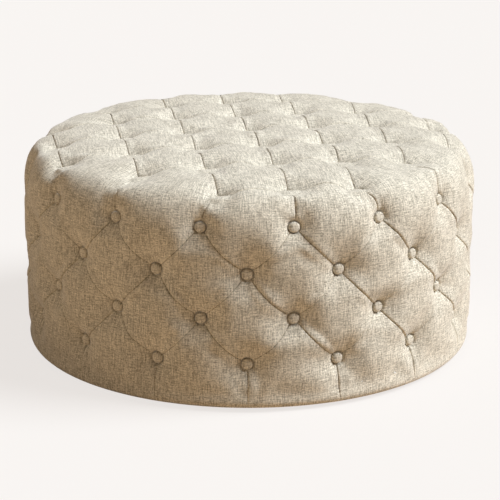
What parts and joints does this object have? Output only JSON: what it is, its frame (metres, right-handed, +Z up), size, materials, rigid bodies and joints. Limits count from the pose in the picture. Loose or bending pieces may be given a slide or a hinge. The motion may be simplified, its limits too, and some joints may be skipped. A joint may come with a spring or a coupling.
{
  "type": "round tufted ottoman coffee table",
  "caption": "Low round upholstered drum with a button-tufted linen cover on its top and side, over a foam-padded wooden frame on glides.",
  "frame": {"origin": "middle of the footprint, on the floor under the glides", "axes": "+Z up, the short way; an upright line of side buttons points along +X, and the button grid on the top runs along X and Y"},
  "size_m": [0.8612, 0.8612, 0.4119],
  "materials": {
    "linen": "plain-woven heathered linen",
    "wadding": "soft bonded fibre",
    "foam": "open-cell foam",
    "twine": "waxed twine",
    "dust_cloth": "black non-woven cloth",
    "plywood": "sanded plywood",
    "softwood": "planed softwood",
    "hardboard": "smooth hardboard",
    "glide_plastic": "black moulded plastic",
    "toggle_plastic": "natural moulded plastic",
    "steel": "zinc-plated steel"
  },
  "bodies": {
    "root": {"base_ring": "plywood", "base_screws": "steel", "batten_screws": "steel", "deck_battens": "softwood", "deck_board": "plywood", "deck_screws": "steel", "dust_cover": "dust_cloth", "glide_screws": "steel", "glides": "glide_plastic", "middle_ring": "plywood", "panel_screws": "steel", "row_1_button_caps": "linen", "row_1_button_eyes": "steel", "row_1_button_plates": "steel", "row_1_ties": "twine", "row_1_toggles": "toggle_plastic", "row_2_button_caps": "linen", "row_2_button_eyes": "steel", "row_2_button_plates": "steel", "row_2_ties": "twine", "row_2_toggles": "toggle_plastic", "row_3_button_caps": "linen", "row_3_button_eyes": "steel", "row_3_button_plates": "steel", "row_3_ties": "twine", "row_3_toggles": "toggle_plastic", "row_4_button_caps": "linen", "row_4_button_eyes": "steel", "row_4_button_plates": "steel", "row_4_ties": "twine", "row_4_toggles": "toggle_plastic", "side_cover": "linen", "side_foam": "foam", "side_panel_left": "hardboard", "side_panel_right": "hardboard", "side_wadding": "wadding", "staples": "steel", "top_button_caps": "linen", "top_button_eyes": "steel", "top_button_plates": "steel", "top_cover": "linen", "top_foam": "foam", "top_ties": "twine", "top_toggles": "toggle_plastic", "top_wadding": "wadding", "upright_posts": "softwood"}
  },
  "joints": []
}
